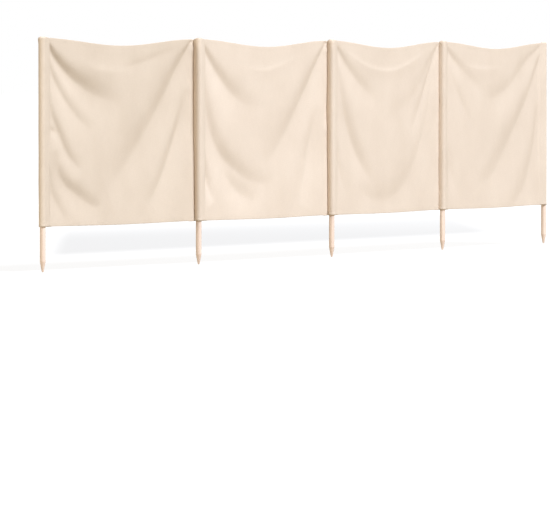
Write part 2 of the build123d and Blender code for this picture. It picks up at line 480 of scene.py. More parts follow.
Pocket = namedtuple("Pocket", "loose centre slack_top slack_foot inset nicks")
Nick = namedtuple("Nick", "height spread change")
POCKETS = (
    Pocket(
        loose=0.0044,
        centre=(0.0, 0.0042),
        slack_top=0.003,
        slack_foot=0.003,
        inset=0.009,
        nicks=(Nick(0.988, 0.012, 0.003),),
    ),
    Pocket(
        loose=0.0018,
        centre=(0.0010, 0.0014),
        slack_top=0.0092,
        slack_foot=0.003,
        inset=0.006,
        nicks=(Nick(0.983, 0.006, 0.0015), Nick(0.952, 0.022, -0.0035)),
    ),
    Pocket(
        loose=0.0016,
        centre=(0.0010, 0.0012),
        slack_top=0.0062,
        slack_foot=0.003,
        inset=0.006,
        nicks=(
            Nick(0.983, 0.006, 0.0015),
            Nick(0.952, 0.018, -0.0025),
            Nick(0.660, 0.120, 0.003),
            Nick(0.592, 0.020, -0.002),
        ),
    ),
    Pocket(
        loose=0.0016,
        centre=(0.0012, 0.0012),
        slack_top=0.0015,
        slack_foot=0.0015,
        inset=-0.001,
        nicks=(Nick(0.618, 0.016, -0.001),),
    ),
    Pocket(
        loose=0.0020,
        centre=(0.0, 0.0016),
        slack_top=0.004,
        slack_foot=0.004,
        inset=0.0045,
        nicks=(Nick(0.980, 0.010, 0.004),),
    ),
)
print("pockets", len(POCKETS), "snug round the pole at", round(1000 * WRAP, 2), "mm")

# %% Slack and radius of a pocket
SLACK_FROM, SLACK_TO, SLACK_LEAST = 0.2, 0.78, 0.0004
SLACK_WAVE, SLACK_WAVES, SLACK_SEED = 0.0012, 9.0, 3.7
EASE_OUT, EASE_WAVES, EASE_SEED, EASE_MORE = 0.0007, 14.0, 5.1, 0.2
CROSS_SEAM, CROSS_SEAM_WIDTH, CROSS_SEAM_DEPTH = 0.9765, 0.0022, 0.0003
COLLAR, COLLAR_REACH = 0.0010, 0.007


def pocket_slack(pole, height):
    """How far the fold corner stands behind the wrapped pole at one height."""
    pocket = POCKETS[pole]
    share = smooth((height - SLACK_FROM) / (SLACK_TO - SLACK_FROM))
    slack = pocket.slack_foot + (pocket.slack_top - pocket.slack_foot) * share
    for nick in pocket.nicks:
        slack += nick.change * math.exp(-(((height - nick.height) / nick.spread) ** 2))
    wave = noise.noise(Vector((height * SLACK_WAVES, SLACK_SEED * pole, 0.0)))
    return max(slack + SLACK_WAVE * wave, SLACK_LEAST)


def wrap_radius(pole, height):
    """The cloth's radius round a pole: easy in places, full at the foot, drawn in at the seam."""
    wave = noise.noise(Vector((height * EASE_WAVES, EASE_SEED * pole, 3.0)))
    ease = EASE_OUT * max(0.0, wave + EASE_MORE)
    seam = math.exp(-(((height - CROSS_SEAM) / CROSS_SEAM_WIDTH) ** 2))
    collar = COLLAR * math.exp(-(((height - POCKET_FOOT) / COLLAR_REACH) ** 2))
    return WRAP + ease * (1 - seam) - CROSS_SEAM_DEPTH * seam + collar


slacks = [1000 * pocket_slack(pole, PANEL_TOP) for pole in range(POLE_COUNT)]
print("slack at the top", [round(slack, 1) for slack in slacks], "mm")

# %% Outline of a pocket
SEAM = 0.043
ALLOWANCE = 0.006
FRONT_LAYER, RETURN_LAYER, UNDER_LAYER = -0.0039, -0.0029, -0.0018
CORNER_RADIUS = 0.0036
CORNER_BACK = 0.0006
SIDE_ROUND = 0.4
WRAP_STEPS, RUN_STEPS, CORNER_STEPS, SIDE_STEPS = 15, 9, 6, 6


def turn_points(corner, before, after, radius, steps):
    """Points along an arc that rounds a corner between two directions that leave it."""
    before = before / np.linalg.norm(before)
    after = after / np.linalg.norm(after)
    half = math.acos(np.clip(before @ after, -1, 1)) / 2
    start = corner + before * radius / math.tan(half)
    middle = (before + after) / np.linalg.norm(before + after)
    centre = corner + middle * radius / math.sin(half)
    first = start - centre
    side = np.sign(before[0] * after[1] - before[1] * after[0])
    angles = -side * np.linspace(0, math.pi - 2 * half, steps)
    across = np.array((-first[1], first[0]))
    return centre + np.cos(angles)[:, None] * first + np.sin(angles)[:, None] * across


def pocket_section(pole, height):
    """The cloth's middle line round a pole, from its end behind the seam to the seam in front."""
    pocket = POCKETS[pole]
    radius = wrap_radius(pole, height) + pocket.loose
    centre = np.array(pocket.centre)
    corner = np.array((pocket.inset - WRAP, WRAP + CORNER_BACK + pocket_slack(pole, height)))
    shoulder = centre + (-radius, SIDE_ROUND * (corner - centre)[1])
    seam_back = np.array((SEAM, RETURN_LAYER))
    seam_front = np.array((SEAM, FRONT_LAYER))
    gap = seam_front - centre
    meet = math.atan2(gap[1], gap[0]) - math.acos(radius / np.linalg.norm(gap))
    angles = np.linspace(-math.pi, meet, WRAP_STEPS)
    wrap = centre + radius * np.column_stack((np.cos(angles), np.sin(angles)))
    run = wrap[-1] + (seam_front - wrap[-1]) * np.linspace(0, 1, RUN_STEPS)[1:, None]
    ways = seam_back - corner, shoulder - corner
    bend = turn_points(corner, *ways, CORNER_RADIUS, CORNER_STEPS)
    share = np.linspace(0, 1, SIDE_STEPS)[1:-1, None]
    side = bend[-1] * (1 - share) ** 2 + 2 * shoulder * share * (1 - share) + wrap[0] * share**2
    front = np.vstack((wrap, run))
    steps = np.r_[0, np.cumsum(np.linalg.norm(np.diff(front, axis=0), axis=1))]
    back = bend[0] + (seam_back - bend[0]) * (steps / steps[-1])[::-1, None]
    tail = seam_back + np.array((ALLOWANCE, 0.0))
    return np.vstack((tail[None], back, bend[1:], side, front))


BACK_COUNT = WRAP_STEPS + RUN_STEPS - 1
SIDE_COUNT = CORNER_STEPS - 1 + SIDE_STEPS - 2
POCKET_COUNT = 1 + BACK_COUNT + SIDE_COUNT + BACK_COUNT
TABLE_HEIGHTS = np.arange(0.18, 1.01, 0.002)
pocket_tables = [
    np.array([pocket_section(pole, height) for height in TABLE_HEIGHTS])
    for pole in range(POLE_COUNT)
]
print("pockets", len(pocket_tables), "each of", pocket_tables[0].shape[:2], "points")

# %% [markdown]
# ## The edges of a bay
# Between two poles the cloth sags along its top by three centimetres, like a slack line. The pole
# pushes the closed end of its pocket up from inside, so the edge rises to it on the pocket's side
# and arrives lower from the left, where the cloth is sewn on behind. A cosine for the sag and a
# falling curve for the tent over each pole give one smooth edge. The bottom edge is almost
# straight.

# %% Edge heights
SAG = 0.0305
TENT_REACH = 0.026
TENT_BACK_REACH = 0.008
POLE_EDGE = 0.010
TOP_LIFT = 0.0002
BOTTOM_DIP = 0.0035
LOWER_REACH = 0.03
RIM = 0.004
RIM_LEAST = 0.12
CAP_HEIGHT = POLE_TOP + CLOTH / 2 + CLEARANCE
EDGE_HEIGHT = PANEL_TOP + TOP_LIFT
TENT_RISE = CAP_HEIGHT - EDGE_HEIGHT
print("top edge at", round(EDGE_HEIGHT, 4), "m, over the poles at", round(CAP_HEIGHT, 4), "m")


def tent(distance, reach=TENT_REACH):
    """How much a pole lifts the cloth at a distance from its axis, as a share."""
    return np.exp(-np.maximum(distance - POLE_EDGE, 0) / reach)


def top_height(bay, along):
    """The height of the cloth's top edge between two poles."""
    length = bay_lengths[bay]
    sag = SAG * (1 - np.cos(2 * math.pi * np.clip(along / length, 0, 1))) / 2
    lift = tent(np.abs(along))
    if bay == LAST_BAY:
        lift = np.maximum(lift, tent(np.abs(length - along)))
    return EDGE_HEIGHT - sag + TENT_RISE * lift


def bottom_height(bay, along):
    """The height of the cloth's bottom edge, a little lower mid-bay and at the pockets."""
    length = bay_lengths[bay]
    share = np.clip(along / length, 0, 1)
    nearest = np.minimum(np.abs(along), np.abs(length - along))
    pocket = POCKET_LOWER * (1 - smooth((nearest - SEAM) / LOWER_REACH))
    return PANEL_BOTTOM - BOTTOM_DIP * np.sin(math.pi * share) ** 2 - pocket


def lid_height(across, back):
    """The height of a pocket's closed top over a place in its own directions."""
    distance = np.hypot(across, back)
    reach = np.where((across > 0) & (back < WRAP), TENT_REACH, TENT_BACK_REACH)
    return EDGE_HEIGHT + TENT_RISE * tent(distance, reach)


def rim_drop(across):
    """How far the closed top's edge rounds over, less where the pocket narrows to its seam."""
    return RIM * np.clip((SEAM - across) / SEAM, RIM_LEAST, 1)


# %% [markdown]
# ## Folds
# A slack canvas hung between two posts forms swags. A cloth simulation would find swags of its
# own, but these have to lie where the real ones do, so each is drawn. From each top corner a fold
# sinks towards the middle. On the inside of its line the cloth hangs forward and turns under in a
# darker band; outside the line it comes forward again more gently and catches the light. Near a
# corner the folds fan out like rays, so they start narrow and widen on their way. Each fold is a
# short list of points from left to right: metres along the bay, metres above the ground, the width
# of the band and how deep the fold is there.

# %% Folds of bay 1
BAY_1_FOLDS = (
    (
        (0.035, 0.970, 0.010, 0.009),
        (0.070, 0.935, 0.015, 0.012),
        (0.120, 0.893, 0.022, 0.016),
        (0.200, 0.840, 0.032, 0.019),
        (0.300, 0.790, 0.042, 0.018),
        (0.420, 0.745, 0.052, 0.013),
        (0.640, 0.700, 0.050, 0.0),
    ),
    (
        (0.25, 0.895, 0.03, 0.0),
        (0.42, 0.855, 0.03, -0.004),
        (0.62, 0.845, 0.03, -0.002),
        (0.76, 0.862, 0.02, 0.0),
    ),
    (
        (0.04, 0.900, 0.012, 0.004),
        (0.10, 0.815, 0.022, 0.012),
        (0.18, 0.730, 0.028, 0.012),
        (0.28, 0.650, 0.032, 0.009),
        (0.40, 0.580, 0.035, 0.0),
    ),
    (
        (0.04, 0.780, 0.012, 0.003),
        (0.06, 0.690, 0.018, 0.007),
        (0.13, 0.585, 0.022, 0.012),
        (0.20, 0.490, 0.024, 0.010),
        (0.30, 0.420, 0.025, 0.0),
    ),
    (
        (0.11, 0.520, 0.020, 0.0),
        (0.12, 0.430, 0.028, 0.010),
        (0.18, 0.365, 0.034, 0.014),
        (0.27, 0.320, 0.038, 0.013),
        (0.38, 0.275, 0.036, 0.009),
        (0.46, 0.260, 0.030, 0.0),
    ),
    ((0.045, 0.440, 0.020, 0.0), (0.070, 0.340, 0.025, 0.009), (0.150, 0.240, 0.030, 0.006)),
    (
        (0.50, 0.340, 0.080, 0.0),
        (0.66, 0.435, 0.080, 0.013),
        (0.85, 0.590, 0.072, 0.019),
        (1.00, 0.740, 0.060, 0.019),
        (1.11, 0.868, 0.042, 0.016),
        (1.18, 0.945, 0.022, 0.010),
        (1.215, 0.985, 0.010, 0.004),
    ),
    (
        (0.82, 0.250, 0.040, 0.0),
        (0.94, 0.350, 0.042, 0.011),
        (1.04, 0.480, 0.042, 0.017),
        (1.12, 0.610, 0.036, 0.016),
        (1.18, 0.780, 0.024, 0.0),
    ),
    ((0.62, 0.865, 0.02, 0.0), (0.80, 0.893, 0.02, 0.003), (1.16, 0.970, 0.015, 0.0)),
    ((0.045, 0.610, 0.010, 0.0), (0.080, 0.600, 0.012, 0.004), (0.130, 0.580, 0.014, 0.0)),
)
print("folds in bay 1", len(BAY_1_FOLDS))

# %% Folds of bay 2
BAY_2_FOLDS = (
    (
        (0.035, 0.970, 0.010, 0.006),
        (0.075, 0.925, 0.017, 0.010),
        (0.130, 0.875, 0.026, 0.012),
        (0.210, 0.815, 0.036, 0.015),
        (0.300, 0.755, 0.044, 0.014),
        (0.420, 0.705, 0.048, 0.006),
        (0.620, 0.690, 0.045, 0.0),
    ),
    (
        (0.04, 0.810, 0.018, 0.004),
        (0.07, 0.690, 0.030, 0.012),
        (0.13, 0.565, 0.040, 0.017),
        (0.22, 0.470, 0.046, 0.018),
        (0.36, 0.400, 0.048, 0.014),
        (0.50, 0.355, 0.046, 0.008),
        (0.72, 0.335, 0.040, 0.0),
    ),
    ((0.22, 0.420, 0.040, 0.0), (0.36, 0.315, 0.045, 0.012), (0.56, 0.255, 0.045, 0.0)),
    ((0.045, 0.500, 0.016, 0.0), (0.070, 0.385, 0.024, 0.015), (0.120, 0.270, 0.024, 0.0)),
    ((0.40, 0.870, 0.012, 0.0), (0.64, 0.860, 0.012, -0.0015), (0.96, 0.925, 0.012, 0.0)),
    (
        (0.58, 0.400, 0.055, 0.0),
        (0.75, 0.510, 0.062, 0.009),
        (0.90, 0.640, 0.058, 0.013),
        (1.04, 0.780, 0.046, 0.014),
        (1.13, 0.885, 0.032, 0.011),
        (1.20, 0.970, 0.012, 0.005),
    ),
    (
        (0.97, 0.240, 0.050, 0.0),
        (1.00, 0.360, 0.050, 0.007),
        (1.06, 0.520, 0.044, 0.010),
        (1.14, 0.700, 0.028, 0.0),
    ),
)
print("folds in bay 2", len(BAY_2_FOLDS))

# %% Folds of bay 3
BAY_3_FOLDS = (
    (
        (0.035, 0.970, 0.010, 0.005),
        (0.120, 0.905, 0.024, 0.009),
        (0.220, 0.840, 0.034, 0.010),
        (0.340, 0.775, 0.040, 0.008),
        (0.500, 0.710, 0.040, 0.0),
    ),
    (
        (0.045, 0.880, 0.016, 0.003),
        (0.105, 0.740, 0.030, 0.009),
        (0.175, 0.600, 0.038, 0.016),
        (0.265, 0.480, 0.042, 0.016),
        (0.370, 0.380, 0.044, 0.009),
        (0.500, 0.300, 0.045, 0.0),
    ),
    (
        (0.28, 0.310, 0.035, 0.0),
        (0.42, 0.262, 0.055, 0.008),
        (0.62, 0.246, 0.065, 0.008),
        (0.80, 0.310, 0.060, 0.007),
        (0.94, 0.430, 0.050, 0.006),
        (1.06, 0.600, 0.040, 0.005),
        (1.16, 0.820, 0.025, 0.002),
    ),
    (
        (0.10, 0.955, 0.010, 0.0),
        (0.40, 0.872, 0.012, -0.0018),
        (0.64, 0.856, 0.012, -0.0020),
        (0.86, 0.890, 0.012, -0.0016),
        (1.12, 0.965, 0.010, 0.0),
    ),
    (
        (0.50, 0.655, 0.035, 0.0),
        (0.76, 0.670, 0.045, 0.002),
        (0.96, 0.760, 0.045, 0.004),
        (1.10, 0.880, 0.030, 0.005),
        (1.20, 0.970, 0.010, 0.003),
    ),
    (
        (0.88, 0.560, 0.030, 0.0),
        (1.00, 0.690, 0.030, 0.006),
        (1.10, 0.820, 0.024, 0.006),
        (1.18, 0.940, 0.012, 0.002),
    ),
    ((0.05, 0.540, 0.018, 0.0), (0.07, 0.420, 0.022, 0.007), (0.14, 0.270, 0.025, 0.0)),
)
print("folds in bay 3", len(BAY_3_FOLDS))

# %% Folds of bay 4
BAY_4_FOLDS = (
    (
        (0.05, 0.955, 0.014, 0.005),
        (0.14, 0.900, 0.024, 0.007),
        (0.26, 0.840, 0.032, 0.004),
        (0.40, 0.780, 0.034, 0.003),
        (0.56, 0.725, 0.035, 0.0),
    ),
    (
        (0.46, 0.710, 0.045, 0.0),
        (0.64, 0.730, 0.045, 0.006),
        (0.82, 0.790, 0.042, 0.006),
        (0.98, 0.885, 0.036, 0.006),
        (1.16, 0.968, 0.014, 0.003),
    ),
    (
        (0.36, 0.310, 0.060, 0.0),
        (0.57, 0.335, 0.080, 0.011),
        (0.74, 0.455, 0.088, 0.015),
        (0.90, 0.595, 0.068, 0.013),
        (1.05, 0.740, 0.044, 0.010),
        (1.18, 0.910, 0.020, 0.005),
    ),
    ((0.06, 0.880, 0.020, 0.0), (0.20, 0.715, 0.030, 0.005), (0.36, 0.560, 0.035, 0.0)),
    (
        (0.88, 0.200, 0.060, 0.007),
        (1.00, 0.280, 0.068, 0.011),
        (1.08, 0.400, 0.056, 0.011),
        (1.13, 0.530, 0.036, 0.007),
        (1.16, 0.700, 0.020, 0.0),
    ),
    ((0.22, 0.880, 0.012, 0.0), (0.44, 0.864, 0.012, -0.0015), (0.72, 0.868, 0.012, 0.0)),
    ((0.05, 0.520, 0.025, 0.0), (0.09, 0.380, 0.026, 0.005), (0.16, 0.260, 0.028, 0.0)),
    (
        (1.180, 0.940, 0.016, 0.0),
        (1.170, 0.820, 0.020, 0.005),
        (1.165, 0.500, 0.020, 0.004),
        (1.165, 0.300, 0.020, 0.0),
    ),
)
print("folds in bay 4", len(BAY_4_FOLDS))

# %% Relief of one fold
BAY_FOLDS = (BAY_1_FOLDS, BAY_2_FOLDS, BAY_3_FOLDS, BAY_4_FOLDS)
CURVE_STEPS = 14
OUTER_SHARE = 2.4
FALL_OFF = 1.75
FAR_AWAY = 9.0


def through(points):
    """A smooth line through points: a Catmull-Rom curve as an array of places."""
    points = np.array(points)
    ends = np.vstack((2 * points[0] - points[1], points, 2 * points[-1] - points[-2]))
    line = []
    for before, start, end, after in zip(ends, ends[1:], ends[2:], ends[3:]):
        for share in np.linspace(0, 1, CURVE_STEPS, endpoint=False):
            slope = (end - before) * share
            bow = (2 * before - 5 * start + 4 * end - after) * share**2
            twist = (3 * start - before - 3 * end + after) * share**3
            line.append(start + (slope + bow + twist) / 2)
    return np.vstack((line, points[-1]))


def fold_relief(fold, along, height):
    """How far forward one fold moves the cloth at each place: a trough, steep inside its line."""
    line = through(fold)
    nearest = np.full(along.shape, FAR_AWAY)
    beside, width, depth = (np.zeros(along.shape) for _ in range(3))
    for start, end in zip(line, line[1:]):
        step = end - start
        size = math.hypot(step[0], step[1])
        way = step[:2] / size
        right, up = along - start[0], height - start[1]
        reach = np.clip(right * way[0] + up * way[1], 0, size)
        distance = np.hypot(right - way[0] * reach, up - way[1] * reach)
        closer = distance < nearest
        nearest = np.where(closer, distance, nearest)
        beside = np.where(closer, way[0] * up - way[1] * right, beside)
        width = np.where(closer, start[2] + step[2] * reach / size, width)
        depth = np.where(closer, start[3] + step[3] * reach / size, depth)
    outside = (1 - beside / np.maximum(nearest, 1e-6)) / 2
    wall = width * (1 + (OUTER_SHARE - 1) * np.clip(outside, 0, 1))
    return -depth * np.exp(-((nearest / wall) ** FALL_OFF))


print("folds in all", sum(len(folds) for folds in BAY_FOLDS))

# %% [markdown]
# ## One bay as a sheet
# A pocket and a panel could be two pieces, but then the cloth would show a joint beside each pole
# where the real strip runs on. So a bay is one grid: its columns follow the cloth from the seam
# behind the left pole, round that pole and across to the next one, and its rows go from the bottom
# edge to the top. The relief of the folds is largest in the open cloth and dies away at the seams,
# where two layers are stitched flat. Small puckers stay along the stitched edges, because a seam
# always draws the cloth in.

# %% Relief of the open cloth
EASE_LEFT, EASE_BEHIND, EASE_LAST = 0.010, 0.010, 0.020
WANDERS = ((0.0014, 2.4), (0.0004, 7.5), (0.00016, 27.0))
PUCKER, PUCKER_REACH = 0.0006, 0.022
EDGE_PUCKERS, SEAM_PUCKERS = 46.0, 52.0
print("puckers", 1000 * PUCKER, "mm high")


def wander(count, right, up, seed):
    """Smooth noise over places, with so many waves to the metre."""
    places = zip((count * right).ravel(), (count * up).ravel())
    values = [noise.noise(Vector((x, y, seed))) for x, y in places]
    return np.array(values).reshape(right.shape)


def relief(bay, along, height, low, high, end):
    """How far forward of its plain line the open cloth of a bay stands."""
    total = sum(fold_relief(fold, along, height) for fold in BAY_FOLDS[bay])
    seed = 5.0 * bay
    for number, (size, count) in enumerate(WANDERS):
        total = total + size * wander(count, along, height, seed + number)
    still = np.zeros(along.shape)
    edge = np.exp(-np.minimum(height - low, high - height) / PUCKER_REACH)
    total = total + PUCKER * edge * wander(EDGE_PUCKERS, along, still, seed + 3)
    seam = np.exp(-np.minimum(along - SEAM, end - along) / PUCKER_REACH)
    total = total + 0.5 * PUCKER * seam * wander(SEAM_PUCKERS, still, height, seed + 4)
    ease_right = EASE_LAST if bay == LAST_BAY else EASE_BEHIND
    return total * smooth((along - SEAM) / EASE_LEFT) * smooth((end - along) / ease_right)


# %% Rows and the end of a bay
ROW_STEP = 0.006
FINE_SHARE, FINE_ROWS = 0.05, 17
ARRIVAL_STEPS = 9
COARSE_ROWS = round((PANEL_TOP - PANEL_BOTTOM) * (1 - FINE_SHARE) / ROW_STEP)
ROW_SHARES = np.r_[
    np.linspace(0, 1 - FINE_SHARE, COARSE_ROWS), np.linspace(1 - FINE_SHARE, 1, FINE_ROWS)[1:]
]
print("rows", len(ROW_SHARES))


def at_heights(table, height):
    """A table of plan places read at the height of every row and column."""
    columns = [
        [np.interp(height[:, column], TABLE_HEIGHTS, table[:, column, axis]) for axis in (0, 1)]
        for column in range(height.shape[1])
    ]
    return np.array(columns).transpose(2, 0, 1)


def closing_table(bay):
    """The end of a bay's cloth: behind the next pocket, or round the last pole the other way."""
    length = bay_lengths[bay]
    right = pocket_tables[bay + 1]
    if bay == LAST_BAY:
        return (right * (-1, 1))[:, ::-1][:, 1:] + (length, 0)
    start = right[:, BACK_COUNT] + (0, UNDER_LAYER - RETURN_LAYER)
    end = np.array((SEAM + ALLOWANCE, UNDER_LAYER))
    steps = np.linspace(0, 1, ARRIVAL_STEPS)[:, None]
    return start[:, None] + (end - start)[:, None] * steps + (length, 0)


# %% Plan of a bay
COLUMN_STEP = 0.006
BELLY = 0.006
LAP_REACH = 0.05
print("open cloth in columns", 1000 * COLUMN_STEP, "mm apart")


def bay_plan(bay):
    """Each row's places along and behind a bay, their heights and the count of closing columns."""
    length = bay_lengths[bay]
    last = bay == LAST_BAY
    left, right = pocket_tables[bay], closing_table(bay)
    closing = right.shape[1]
    open_end = length - (SEAM if last else WRAP + CORNER_RADIUS)
    count = int((open_end - SEAM) / COLUMN_STEP)
    opening = np.linspace(SEAM, open_end, count + 1)[1:]
    across = np.r_[left[-1, :, 0], opening, right[-1, :, 0]]
    behind = np.r_[left[-1, :, 1], np.zeros(count), right[-1, :, 1]]
    low, high = bottom_height(bay, across), top_height(bay, across)
    high[:POCKET_COUNT] = (lid_height(across, behind) - rim_drop(across))[:POCKET_COUNT]
    if last:
        mirrored = length - across
        high[-closing:] = (lid_height(mirrored, behind) - rim_drop(mirrored))[-closing:]
    height = low + (high - low) * ROW_SHARES[:, None]
    pocket = at_heights(left, height[:, :POCKET_COUNT])
    ending = at_heights(right, height[:, -closing:])
    # The plain line runs to the next pocket's back. That back is creased, so the open cloth heads
    # for an even curve through it and meets the creases only in its last centimetres.
    place = (opening - SEAM) / (open_end - SEAM)
    lap = np.full(len(height), FRONT_LAYER) if last else ending[:, 0, 1]
    even = np.polyval(np.polyfit(height[:, -closing], lap, 2), height[:, -closing])
    line = FRONT_LAYER + (even[:, None] - FRONT_LAYER) * place - 4 * BELLY * place * (1 - place)
    line = line + (lap - even)[:, None] * smooth((opening - open_end) / LAP_REACH + 1)
    free = slice(POCKET_COUNT, POCKET_COUNT + count)
    end = open_end if last else length - WRAP
    along = np.broadcast_to(opening, line.shape)
    line = line - relief(bay, along, height[:, free], low[free], high[free], end)
    plan = np.hstack((pocket, np.stack((along, line), axis=-1), ending))
    return plan, height, closing


# %% Bays in the row
TURN_REACH = 0.12


def in_row_frame(bay, along, back, height):
    """Turns places in a bay's directions into the row's frame, easing into each pole's turn."""
    length = bay_lengths[bay]
    near_left = along < length / 2
    pole_turn = np.where(near_left, pole_turns[bay], pole_turns[bay + 1])
    from_pole = np.where(near_left, along, length - along)
    angle = pole_turn + (bay_turns[bay] - pole_turn) * smooth((from_pole - SEAM) / TURN_REACH)
    reach = np.where(near_left, along, along - length)
    x = np.where(near_left, pole_spots[bay].x, pole_spots[bay + 1].x)
    y = np.where(near_left, pole_spots[bay].y, pole_spots[bay + 1].y)
    x = x + reach * np.cos(angle) - back * np.sin(angle)
    y = y + reach * np.sin(angle) + back * np.cos(angle)
    return np.stack((x, y, height), axis=-1)


def bay_cloth(bay):
    """A bay's grid of places in the row's frame, its plan and its count of closing columns."""
    plan, height, closing = bay_plan(bay)
    return in_row_frame(bay, plan[..., 0], plan[..., 1], height), plan, closing


cloths = [bay_cloth(bay) for bay in range(BAY_COUNT)]
print("grids", [cloth[0].shape[:2] for cloth in cloths])

# %% [markdown]
# ## Closed tops
# A pocket is sewn shut at its top so that the pole can't slip through. The cloth lies over the
# pole's end like a small tent: highest over the wood, rounded over at the rim, and falling to the
# seam. One flat face would close the hole with a hard edge, so the top is a grid of its own, whose
# rim is the pocket's.

# %% Closed tops
ROUND_END = 6
print("closed tops round over by", 1000 * RIM, "mm")


def edge_distance(spots, outline):
    """How far each spot lies from an outline."""
    starts = outline[:-1]
    way = outline[1:] - starts
    gap = spots[:, :, None] - starts
    reach = np.clip((gap * way).sum(-1) / (way * way).sum(-1), 0, 1)
    return np.linalg.norm(gap - way * reach[..., None], axis=-1).min(-1)


def pocket_lid(bay, rim, plan, mirrored):
    """The closed top as a grid from the back run of a pocket to its front, nose first."""
    if mirrored:
        rim, plan = rim[::-1], plan[::-1] * (-1, 1) + (bay_lengths[bay], 0)
    back_run = slice(1, 1 + BACK_COUNT)
    side_run = slice(BACK_COUNT, BACK_COUNT + SIDE_COUNT + 2)
    backs, fronts, side = plan[back_run], plan[-BACK_COUNT:][::-1], plan[side_run]
    steps = np.r_[0, np.cumsum(np.linalg.norm(np.diff(side, axis=0), axis=1))]
    steps = steps / steps[-1]
    spread = (1 - np.cos(math.pi * np.linspace(0, 1, len(side)))) / 2
    blend = np.linspace(0, 1, BACK_COUNT)[:, None] ** ROUND_END
    shares = spread * (1 - blend) + steps * blend
    bulge = side - (side[0] + (side[-1] - side[0]) * steps[:, None])
    flat = backs[:, None] + (fronts - backs)[:, None] * shares[..., None]
    flat = flat + blend[..., None] * bulge
    across, back = flat[..., 0], flat[..., 1]
    room = rim_drop(across)
    curve = 1 - np.clip(edge_distance(flat, plan[1:]) / room, 0, 1)
    height = lid_height(across, back) - room * (1 - np.sqrt(np.maximum(1 - curve**2, 0)))
    along = bay_lengths[bay] - across if mirrored else across
    places = in_row_frame(bay, along, back, height)
    places[:, 0], places[:, -1], places[-1] = rim[back_run], rim[-BACK_COUNT:][::-1], rim[side_run]
    places = places.transpose(1, 0, 2)
    return places[:, ::-1] if mirrored else places


# %% [markdown]
# ## Hems
# The long edges are turned back once and stitched, so that they can't fray. A thicker edge would
# stand for that from afar, but from behind and below the turned strip shows. So the cloth really
# is turned: a tight half round, and then rows that lie flat behind it.

# %% Hems
HEM = 0.013
HEM_GAP = 0.0015
HEM_SET_IN = 0.003
HEM_START = SEAM + ALLOWANCE + HEM_SET_IN
HEM_ROUND = ((0.1, 0.35), (0.5, 0.5), (0.9, 0.35))
HEM_DEPTHS = (0.0, 0.0045, 0.009, HEM)
print("hems", 1000 * HEM, "mm deep")


def outward(places):
    """The unit direction out of a grid of places, at each of them."""
    normal = np.cross(np.gradient(places, axis=1), np.gradient(places, axis=0))
    return normal / np.linalg.norm(normal, axis=-1, keepdims=True)


def lengths_along(lines):
    """How far each point of a set of lines lies from its line's start."""
    steps = np.linalg.norm(np.diff(lines, axis=0), axis=-1)
    return np.concatenate((np.zeros_like(steps[:1]), np.cumsum(steps, axis=0)))


def hem_rows(places, normals, top):
    """Rows of a hem from a grid's top or bottom edge: round the fold, then along the cloth."""
    order = -1 if top else 1
    inward = places[::order]
    out = normals[::order][0]
    depth = lengths_along(inward)
    beyond = inward[0] - inward[1]
    beyond = beyond / np.linalg.norm(beyond, axis=-1, keepdims=True)
    rows = [
        inward[0] - out * HEM_GAP * behind + beyond * HEM_GAP * further
        for behind, further in HEM_ROUND
    ]
    for wanted in HEM_DEPTHS:
        row = [
            [np.interp(wanted, depth[:, column], inward[:, column, axis]) for axis in range(3)]
            for column in range(places.shape[1])
        ]
        rows.append(np.array(row) - out * HEM_GAP)
    return np.array(rows)


# %% [markdown]
# ## Sewing a bay together
# The grids of a bay share their edges, so their doubled corners are merged and the bay becomes a
# single sheet. A solid would need a back face drawn for every fold. The solidify modifier gives
# the sheet its thickness instead, half of it to each side of the line that the sections were drawn
# on.

# %% Grids made into faces


def add_patch(form, layer, places, uvs):
    """Adds a grid of places to a bmesh as faces that look outward, with its flat coordinates."""
    rows, columns = places.shape[:2]
    points = [form.verts.new(point) for point in places.reshape(-1, 3)]
    for row in range(rows - 1):
        for column in range(columns - 1):
            corners = ((0, 0), (0, 1), (1, 1), (1, 0))
            corners = [(row + r, column + c) for r, c in corners]
            face = form.faces.new([points[r * columns + c] for r, c in corners])
            for loop, (r, c) in zip(face.loops, corners):
                loop[layer].uv = uvs[r, c]


def flat_coordinates(places, start):
    """Metres along the cloth and up it for a grid, measured on its middle row and each column."""
    along = start + lengths_along(places[places.shape[0] // 2])
    up = lengths_along(places) + places[0, 0, 2]
    return np.stack((np.broadcast_to(along, up.shape), up), axis=-1)


# %% One bay's sheet
WELD = 0.00002
LID_FLAT = 1.0


